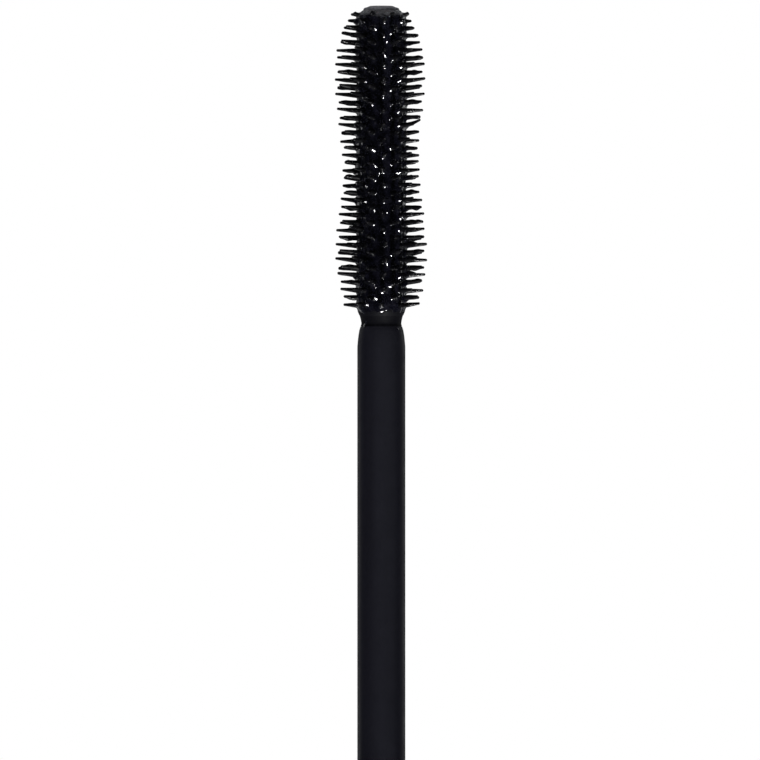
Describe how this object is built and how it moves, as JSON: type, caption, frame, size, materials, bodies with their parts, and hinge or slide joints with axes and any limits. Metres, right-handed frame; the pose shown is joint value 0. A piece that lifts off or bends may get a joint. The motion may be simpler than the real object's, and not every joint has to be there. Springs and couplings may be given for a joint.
{
  "type": "mascara tube",
  "caption": "Mascara tube with a screw cap that carries a stem and a moulded bristle brush, drawn out of the wiper and held above the mouth.",
  "frame": {"origin": "centre of the tube's foot, on the face that it stands on", "axes": "+Z along the tube's axis, from the foot towards the mouth and the cap; +X and +Y across the round tube"},
  "size_m": [0.017, 0.017, 0.2068],
  "materials": {
    "base_plug": "satin",
    "base_weight": "turned",
    "outer_sleeve": "gloss",
    "shoulder_collar": "brushed",
    "bottle": "satin",
    "wiper": "matt, translucent",
    "mascara_paste": "wet gloss",
    "cap_liner": "matt foam",
    "inner_cap": "satin",
    "cap_trim_ring": "brushed",
    "outer_cap": "gloss",
    "cap_end_disc": "spun",
    "stem": "satin",
    "brush_core": "matt",
    "bristle_sleeve": "gloss, wet"
  },
  "bodies": {
    "tube": {"base_plug": "base_plug", "base_weight": "base_weight", "outer_sleeve": "outer_sleeve", "shoulder_collar": "shoulder_collar", "bottle": "bottle", "wiper": "wiper", "mascara_paste": "mascara_paste"},
    "liner": {"cap_liner": "cap_liner"},
    "applicator": {"inner_cap": "inner_cap", "cap_trim_ring": "cap_trim_ring", "outer_cap": "outer_cap", "cap_end_disc": "cap_end_disc", "stem": "stem", "brush_core": "brush_core", "bristle_sleeve": "bristle_sleeve"}
  },
  "joints": [
    {"name": "draw_out", "type": "slide", "parent": "tube", "child": "liner", "axis": [0, 0, 1], "range_m": [-0.0855, 0], "deforming": ["wiper"]},
    {"name": "unscrew", "type": "hinge", "parent": "liner", "child": "applicator", "pos_m": [0, 0, 0.17], "axis": [0, 0, 1], "range_deg": [-720, 0]}
  ]
}
